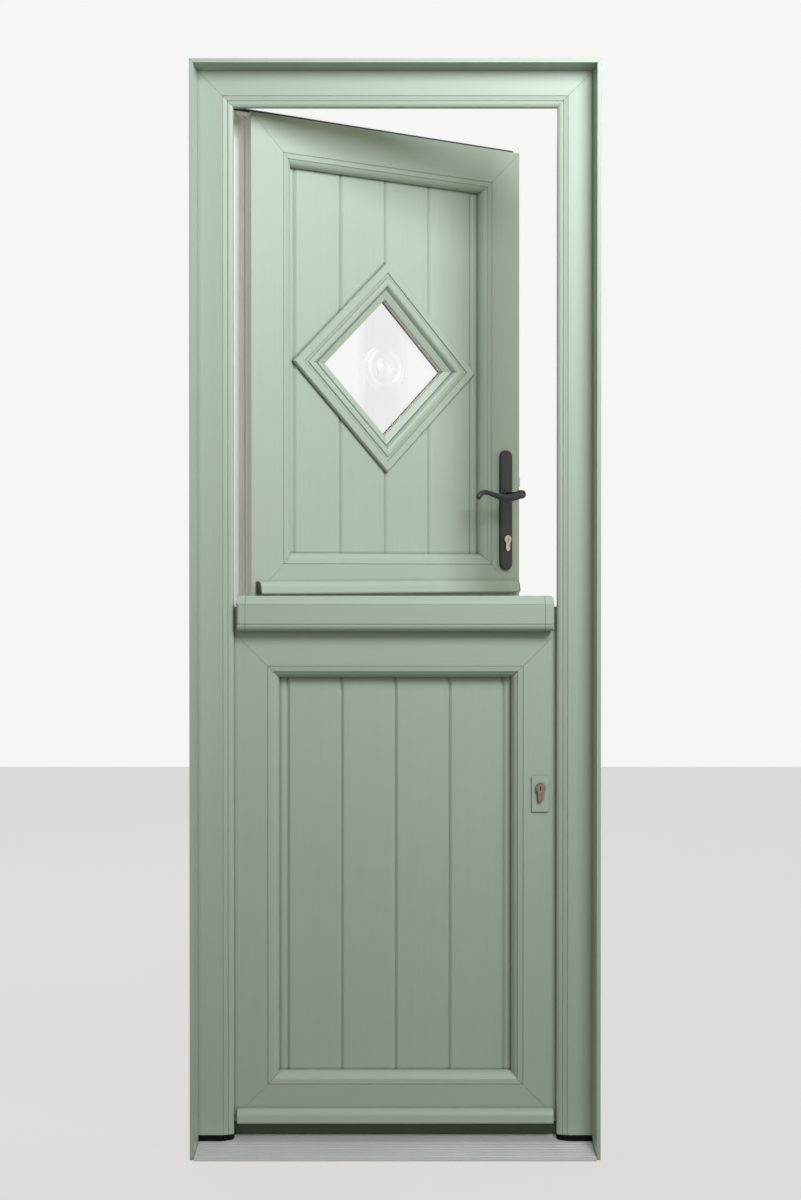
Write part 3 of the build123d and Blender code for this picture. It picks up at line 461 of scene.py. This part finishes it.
def foil(name, along, turned=False, outline=None, back=LEAF_INSIDE, lines=(),
         line_shade=MITRE_SHADE, edge=FOIL_EDGE, crevice_shade=FOIL_CREVICE_SHADE):
    """Satin foil with an embossed grain along x or z, over a white profile."""
    made = Shader(name, Roughness=FOIL_ROUGHNESS, Specular_IOR_Level=FOIL_GLOSS)
    place = made.shut(turned)
    scale = GRAIN_SCALES[along]
    streaks = made.noise(place, scale, detail=3)
    bands = made.noise(place, [s * BAND_SHARE for s in scale], detail=2)
    cloud = made.noise(place, [FOIL_CLOUD] * 3, detail=2)
    tint = made.tints(bands, SAGE, BAND_SHADES, WIDE)
    pores = made.tints(streaks, SAGE, PORE_SHADES, PORE_STRETCH)
    # Painted shade darkens the colour in crevices, on the green here and on the white below
    green = made.painted_crevice_shade(made.mix(PORE_SHARE, tint, pores), crevice_shade)
    white = made.tints(cloud, WHITE, WHITE_SHADES)
    # Painted shade along the grooves of the flank
    white = made.mix(painted_rib_shade(made, place), white, shade(WHITE, RIB_SHADE))
    white = made.painted_crevice_shade(white, WHITE_CREVICE_SHADE)
    colour = made.mix(uncovered(made, place, outline, back), green, white)
    if lines:
        colour = made.mix(seams(made, place, lines), colour, shade(SAGE, line_shade))
    made.surface(colour, made.level(cloud, *FOIL_SPREAD),
                 made.bump(streaks, *FOIL_RELIEF, made.soft_edges(edge)))
    return made.material


def plain(name, colour, roughness, grain=400, depth=0.0001, gloss=0.5):
    """Moulded, coated or cast finish with a fine even texture."""
    made = Shader(name, Roughness=roughness, Specular_IOR_Level=gloss)
    place = made.shut()
    fine = made.noise(place, [grain] * 3, detail=3)
    broad = made.noise(place, [PLAIN_CLOUD] * 3, detail=3)
    tint = made.tints(broad, colour, PLAIN_SHADES, WIDE)
    # Painted shade darkens the colour in crevices
    made.surface(made.painted_crevice_shade(tint, PLAIN_CREVICE_SHADE),
                 made.level(broad, *(roughness * share for share in PLAIN_SPREAD)),
                 made.bump(fine, PLAIN_RELIEF, depth, made.soft_edges(PLAIN_EDGE)))
    return made.material


def drawn_metal(name, colour, roughness, scale, metallic=1.0, crevice_shade=METAL_CREVICE_SHADE):
    """Extruded, plated or brushed metal with a fine grain."""
    made = Shader(name, Roughness=roughness, Metallic=metallic)
    place = made.shut()
    grain = made.noise(place, scale, detail=4)
    broad = made.noise(place, [METAL_CLOUD] * 3, detail=3)
    tint = made.tints(grain, colour, METAL_SHADES, WIDE)
    # Painted shade darkens the colour in crevices
    made.surface(made.painted_crevice_shade(tint, crevice_shade),
                 made.level(broad, *(roughness * share for share in METAL_SPREAD)),
                 made.bump(grain, *METAL_RELIEF, made.soft_edges(METAL_EDGE)))
    return made.material


def clear_glass(name, spun):
    """Float glass with a faint waviness, and rings where it was spun."""
    made = Shader(name, Roughness=0.0, Transmission_Weight=1.0, IOR=GLASS_INDEX,
                  Base_Color=(1, 1, 1, 1))
    place = made.shut(turned=True)
    height = made.level(made.noise(place, [GLASS_WAVES] * 3, detail=2), 0.0, WAVE_HEIGHT)
    if spun:
        x, _, z = made.axes(place)
        rise = made.math("SUBTRACT", z, WINDOW_CENTRE)
        squares = made.math("ADD", made.math("MULTIPLY", x, x),
                            made.math("MULTIPLY", rise, rise))
        reach = made.math("DIVIDE", made.math("SQRT", squares), BULLSEYE_RADIUS)
        height = made.math("ADD", height, made.curve(reach, BULLSEYE_RELIEF))
    made.link(made.bump(height, *GLASS_RELIEF), made.bsdf.inputs["Normal"])
    return made.material


def put(material, *names):
    """Give CAD nodes a material."""
    for name in names:
        data = nodes[name].data
        data.materials.clear()
        data.materials.append(material)


def dress_frame():
    """Materials of the pieces that stay still, and of steel parts and hinges."""
    corner = mitres(FRAME_HALF, None, FRAME_TOP)
    put(foil("foil_frame_upright", "z", back=STOP_BACK, lines=corner), "frame_jamb_hinge_side",
        "frame_jamb_lock_side", "trim_hinge_side", "trim_lock_side")
    put(foil("foil_frame_level", "x", back=STOP_BACK, lines=corner), "frame_head", "trim_head")
    put(plain("seal_rubber", RUBBER, roughness=0.75, depth=RUBBER_DEPTH), "frame_seal",
        "lower_leaf_seals", "upper_leaf_seal")
    # The sweep seal's dark green is painted shade of the gap under the lower leaf
    put(plain("sweep_painted_shade", SWEEP_SHADE_GREEN, roughness=0.6, depth=RUBBER_DEPTH),
        "threshold_seal")
    put(plain("packer_plastic", PACKER, roughness=0.85, gloss=0.1), "threshold_end_pads")
    put(drawn_metal("threshold_metal", ALUMINIUM, roughness=0.42, scale=SILL_LINES,
                    metallic=0.45, crevice_shade=SILL_CREVICE_SHADE), "threshold")
    put(drawn_metal("plated_steel", STEEL, roughness=0.36, scale=PLATED_GRAIN),
        "strike_upper", "strike_lower", "hinge_pins", "lower_deadbolt", "upper_deadbolt",
        "lower_lock_case", "upper_lock_case", "upper_latch", "spindle", "tie_bolt")
    put(plain("hinge_coat", HINGE_WHITE, roughness=0.4), "lower_hinge_frame_parts",
        "upper_hinge_frame_parts", "lower_hinge_leaf_parts", "upper_hinge_leaf_parts",
        "tie_bolt_housing", "tie_bolt_keep")


def dress_leaf(leaf, span, turned, trimming):
    """Foil of one leaf's stiles, rails and grooved panel, with what matches the panel."""
    outline = (LEAF_HALF, *span)
    corners = mitres(*outline)
    put(foil(f"foil_{leaf}_upright", "z", turned, outline, lines=corners),
        f"{leaf}_stile_hinge_side", f"{leaf}_stile_lock_side")
    put(foil(f"foil_{leaf}_level", "x", turned, outline, lines=corners),
        f"{leaf}_rail_top", f"{leaf}_rail_bottom")
    put(foil(f"foil_{leaf}_panel", "z", turned, **GROOVED), f"{leaf}_panel", trimming)


def dress_leaves(black_coat):
    """Materials of the two leaves, with their furniture and window."""
    dress_leaf("lower", LOWER_LEAF, False, "lower_escutcheons")
    # The upper crease line is painted shade in the groove at the bar's top; the end seams and
    # the nose line are joints
    bar_lines = [(1, 0, BAR_SEAM), (0, 1, BAR_CREASE_SHADE), (0, 1, BAR_NOSE)]
    put(foil("foil_bars", "x", lines=bar_lines, line_shade=BAR_LINE_SHADE), "meeting_bar",
        "meeting_bar_end_caps")
    put(foil("foil_drip", "x"), "lower_drip_bar")
    dress_leaf("upper", UPPER_LEAF, True, "diamond_moulding_outside")
    put(foil("foil_upper_drip", "x", turned=True), "upper_drip_bar")
    put(plain("white_plastic", WHITE, roughness=0.35), "lower_glazing_beads",
        "upper_glazing_beads", "diamond_moulding_inside")
    put(black_coat, "backplate_outside", "backplate_inside", "lever_outside", "lever_inside")
    put(plain("spacer_plastic", SPACER, roughness=0.5), "glass_spacer")
    put(drawn_metal("nickel", NICKEL, roughness=0.25, scale=NICKEL_GRAIN), "upper_cylinder",
        "upper_cylinder_plug")
    # The lower cylinder is the same nickel, darkened as painted shade
    put(drawn_metal("nickel_painted_shade", SHADED_NICKEL, roughness=0.3, scale=NICKEL_GRAIN),
        "lower_cylinder", "lower_cylinder_plug")
    put(clear_glass("spun_glass", spun=True), "glass_outer_pane")
    put(clear_glass("float_glass", spun=False), "glass_inner_pane")


def piece(name, points, faces, material, body, turned=False):
    """New piece from points in metres, modelled shut, riding on a body."""
    mesh = bpy.data.meshes.new(name)
    mesh.from_pydata([tuple(p) for p in points], [], faces)
    mesh.update()
    if turned:
        mesh.transform(ajar)
    obj = bpy.data.objects.new(name, mesh)
    bpy.context.scene.collection.objects.link(obj)
    mesh.materials.append(material)
    for polygon in mesh.polygons:
        polygon.use_smooth = True
    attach(obj, body)
    return obj


def tube(rings):
    """Points and faces that join equal rings of points, closed at both ends."""
    count = len(rings[0])
    points = [p for ring in rings for p in ring]
    faces = []
    for row in range(len(rings) - 1):
        for k in range(count):
            first, second = row * count + k, row * count + (k + 1) % count
            faces.append((first, second, second + count, first + count))
    faces.append(tuple(reversed(range(count))))
    faces.append(tuple(range(len(points) - count, len(points))))
    return points, faces


def joined(*shapes):
    """One list of points and faces from several."""
    points, faces = [], []
    for some_points, some_faces in shapes:
        start = len(points)
        points += some_points
        faces += [tuple(start + index for index in face) for face in some_faces]
    return points, faces


def smooth_line(knots, share):
    """Point on the Catmull-Rom line through the knots, at a share of 0 to 1."""
    spans = len(knots) - 1
    place = min(share * spans, spans - END_MARGIN)
    index = int(place)
    t = place - index
    p0, p1, p2, p3 = (knots[min(max(index + k, 0), spans)] for k in (-1, 0, 1, 2))
    return tuple(
        0.5 * (2 * b + (c - a) * t + (2 * a - 5 * b + 4 * c - d) * t ** 2
               + (3 * b - a - 3 * c + d) * t ** 3)
        for a, b, c, d in zip(p0, p1, p2, p3)
    )


def arm_rings():
    """Centre, direction and radius of each ring along the arm and round its tip."""
    rings = []
    for step in range(ARM_STATIONS + 1):
        share = step / ARM_STATIONS
        x, z = smooth_line(FORGED_LINE, share)
        nx, nz = smooth_line(FORGED_LINE, min(share + TANGENT_STEP, 1.0))
        px, pz = smooth_line(FORGED_LINE, max(share - TANGENT_STEP, 0.0))
        direction = Vector((nx - px, 0, nz - pz)).normalized()
        radius = smooth_line([(r,) for r in FORGED_RADII], share)[0]
        rings.append((Vector((x, 0, z)), direction, radius))
    centre, direction, radius = rings[-1]
    for k in range(1, TIP_STEPS):
        shrink = (1 - (k / TIP_STEPS) ** 2) ** 0.5
        rings.append((centre + direction * radius * k / TIP_STEPS, direction, radius * shrink))
    return rings


def forged_arm(face, side):
    """S-shaped arm of oval section, with a rounded tip."""
    y = face + side * (PLATE_TOP + LEVER_STANDOFF / MM)
    loops = []
    for centre, direction, radius in arm_rings():
        up = Vector((-direction.z, 0, direction.x))
        loop = []
        for k in range(ARM_SIDES):
            turn = 2 * math.pi * k / ARM_SIDES * -side
            offset = up * math.cos(turn) * radius
            x, z = centre.x + offset.x, centre.z + offset.z
            depth = math.sin(turn) * radius * ARM_FLATNESS
            loop.append((LOCK_X + x / MM, y + depth / MM, SPINDLE_HEIGHT + z / MM))
        loops.append(loop)
    return tube(loops)


def turned_knob(face, side):
    """Neck and shoulder that the arm grows from."""
    loops = []
    for radius, reach in KNOB_PROFILE:
        y = face + side * (PLATE_TOP + reach / MM)
        loop = []
        for k in range(KNOB_SIDES):
            turn = 2 * math.pi * k / KNOB_SIDES * side
            loop.append((LOCK_X + math.cos(turn) * radius / MM, y,
                         SPINDLE_HEIGHT + math.sin(turn) * radius / MM))
        loops.append(loop)
    return tube(loops)


def levers(black_coat):
    """Forged levers in place of the CAD model's faceted ones."""
    for name, face, side in (("lever_outside", LEAF_FRONT, -1),
                             ("lever_inside", LEAF_BACK, 1)):
        points, faces = joined(forged_arm(face, side), turned_knob(face, side))
        lever = piece("forged_" + name, points, faces, black_coat, "handle",
                      turned=True)
        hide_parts(name)


def drip_cap(side):
    """Moulded cap on one end of the upper drip bar, with a bevelled outer edge."""
    edge = side * BAR_HALF
    far = edge + side * CAP_THICKNESS
    middle_y, middle_z = DRIP_MIDDLE
    loops = []
    for x, inset in ((edge, 0), (far - side * CAP_BEVEL, 0), (far, CAP_INSET)):
        loop = []
        for y, z in DRIP_END:
            inner_y = y + (middle_y - y) / middle_y * inset
            inner_z = z + (middle_z - z) / middle_z * inset
            loop.append((x, inner_y / MM, DRIP_FOOT + inner_z / MM))
        loops.append(loop if side > 0 else loop[::-1])
    return tube(loops)


def drip_caps():
    """Moulded caps on both ends of the upper drip bar."""
    points, faces = joined(drip_cap(-1), drip_cap(1))
    made = plain("cap_plastic", CAP_GREEN, roughness=0.5)
    piece("upper_drip_end_caps", points, faces, made, "upper_leaf", turned=True)


def screw_head(place, normal, radius, turn):
    """Countersunk head with a cross recess, a little proud of its plate."""
    basis = Vector(normal).to_track_quat("Z", "Y").to_matrix()
    loops = []
    for share, rise in HEAD_PROFILE:
        loop = []
        for k in range(HEAD_SIDES):
            angle = 2 * math.pi * k / HEAD_SIDES
            recessed = k % (HEAD_SIDES // RECESS_ARMS) == 0 and share < RECESS_REACH
            sunk = RECESS_DEPTH if recessed else 0.0
            local = Vector((math.cos(angle + turn) * share, math.sin(angle + turn) * share,
                            rise - sunk)) * radius
            loop.append(tuple(Vector(place) + basis @ local))
        loops.append(loop)
    return tube(loops)


def screws(name, groups, material, body, turned=False):
    """Screw heads of one carrier, from groups of places, normal and radius."""
    shapes = []
    for places, normal, radius in groups:
        for place in places:
            metres = [v / MM for v in place]
            turn = FIRST_TURN + len(shapes)
            shapes.append(screw_head(metres, normal, radius / MM, turn))
    points, faces = joined(*shapes)
    piece(name, points, faces, material, body, turned)


def hinge_group(plate, heights, radius):
    """Heads on the plates of hinges at the given heights."""
    places = [(x, y, height + rise) for height in heights for x, y, rise in plate]
    return places, TO_ROOM, radius


def fixings(black_coat):
    """Visible screws of the hinges, locks, tie bolt, strikes and backplates."""
    steel = drawn_metal("screw_steel", STEEL, roughness=0.3, scale=SCREW_GRAIN)
    still = hinge_group(FRAME_PLATE, LOWER_HINGES + UPPER_HINGES, FRAME_PLATE_HEAD)
    lower = hinge_group(LEAF_PLATE, LOWER_HINGES, LEAF_PLATE_HEAD)
    upper = hinge_group(LEAF_PLATE, UPPER_HINGES, LEAF_PLATE_HEAD)
    screws("frame_screws", [still, STRIKES], steel, "frame")
    screws("lower_leaf_screws", [lower, KEEP, ESCUTCHEON, LOWER_LOCK], steel, "lower_leaf")
    screws("upper_leaf_screws", [upper, HOUSING, UPPER_LOCK], steel, "upper_leaf",
           turned=True)
    screws("backplate_screws", [BACKPLATE], black_coat, "upper_leaf",
           turned=True)


def seen_directly(tree):
    """1 for rays that show a surface to the camera, straight or through metal and glass."""
    path = tree.nodes.new("ShaderNodeLightPath")
    total = path.outputs["Is Camera Ray"]
    for name in ("Is Glossy Ray", "Is Transmission Ray"):
        largest = tree.nodes.new("ShaderNodeMath")
        largest.operation = "MAXIMUM"
        tree.links.new(total, largest.inputs[0])
        tree.links.new(path.outputs[name], largest.inputs[1])
        total = largest.outputs[0]
    return total


def world_light():
    """Even light from all round, with a pale backdrop where it is seen."""
    world = bpy.data.worlds.new("studio")
    bpy.context.scene.world = world
    world.use_nodes = True
    tree = world.node_tree
    tree.nodes.clear()
    output = tree.nodes.new("ShaderNodeOutputWorld")
    mix = tree.nodes.new("ShaderNodeMixShader")
    light = tree.nodes.new("ShaderNodeBackground")
    shown = tree.nodes.new("ShaderNodeBackground")
    set_inputs(light, {"Color": (*AMBIENT_TINT, 1), "Strength": AMBIENT})
    set_inputs(shown, {"Color": linear(BACKDROP), "Strength": 1.0})
    tree.links.new(seen_directly(tree), mix.inputs[0])
    tree.links.new(light.outputs[0], mix.inputs[1])
    tree.links.new(shown.outputs[0], mix.inputs[2])
    tree.links.new(mix.outputs[0], output.inputs["Surface"])


def area_lamp(name, place, target, size, power, tint):
    """Soft square lamp aimed at a point."""
    data = bpy.data.lights.new(name, "AREA")
    data.shape = "SQUARE"
    data.size = size
    data.energy = power
    data.color = tint
    lamp = bpy.data.objects.new(name, data)
    bpy.context.scene.collection.objects.link(lamp)
    lamp.location = place
    lamp.visible_camera = False
    lamp.visible_transmission = False
    aim = Vector(target) - Vector(place)
    lamp.rotation_euler = aim.to_track_quat("-Z", "Y").to_euler()


def floor():
    """Plain pale floor under the threshold, which keeps the door's shadow."""
    half = FLOOR_HALF
    mesh = bpy.data.meshes.new("floor")
    corners = [(-half, -half, 0), (half, -half, 0), (half, half, 0), (-half, half, 0)]
    mesh.from_pydata(corners, [], [(0, 1, 2, 3)])
    obj = bpy.data.objects.new("floor", mesh)
    bpy.context.scene.collection.objects.link(obj)
    made = Shader("floor_paint", Roughness=FLOOR_ROUGHNESS)
    cloud = made.noise(made.shut(), [FLOOR_CLOUD] * 3, detail=3)
    made.link(made.between(cloud, linear(FLOOR_DARK), linear(FLOOR_LIGHT)),
              made.bsdf.inputs["Base Color"])
    shown = made.add("ShaderNodeEmission", Color=linear(FLOOR_SHOWN), Strength=1.0)
    mix = made.add("ShaderNodeMixShader")
    share = made.math("MULTIPLY", seen_directly(made.tree), FLOOR_SHARE)
    made.link(share, mix.inputs[0])
    made.link(made.bsdf.outputs[0], mix.inputs[1])
    made.link(shown.outputs[0], mix.inputs[2])
    made.link(mix.outputs[0], made.tree.nodes["Material Output"].inputs["Surface"])
    mesh.materials.append(made.material)


def camera():
    """Camera at the photograph's place, with its lens and shift."""
    data = bpy.data.cameras.new("camera")
    obj = bpy.data.objects.new("camera", data)
    bpy.context.scene.collection.objects.link(obj)
    data.sensor_width = SENSOR
    data.lens = FOCAL_PIXELS / PHOTO_HEIGHT * SENSOR
    data.shift_y = (PRINCIPAL_ROW - PHOTO_HEIGHT / 2) / PHOTO_HEIGHT
    data.dof.use_dof = False
    obj.location = CAMERA_PLACE
    obj.rotation_euler = (math.pi / 2 - CAMERA_PITCH, 0, 0)
    bpy.context.scene.camera = obj


def studio():
    """Lights, floor, backdrop and camera."""
    world_light()
    for name, setting in LAMPS.items():
        area_lamp(name, *setting)
    floor()
    camera()
    bpy.context.scene.view_settings.view_transform = "Standard"


def dress_and_add():
    """Materials of the CAD nodes, and the scene's own pieces."""
    black_coat = plain("black_coat", BLACK_COAT, roughness=0.46, grain=900, depth=0.0002)
    dress_frame()
    dress_leaves(black_coat)
    levers(black_coat)
    drip_caps()
    fixings(black_coat)


dress_and_add()
studio()
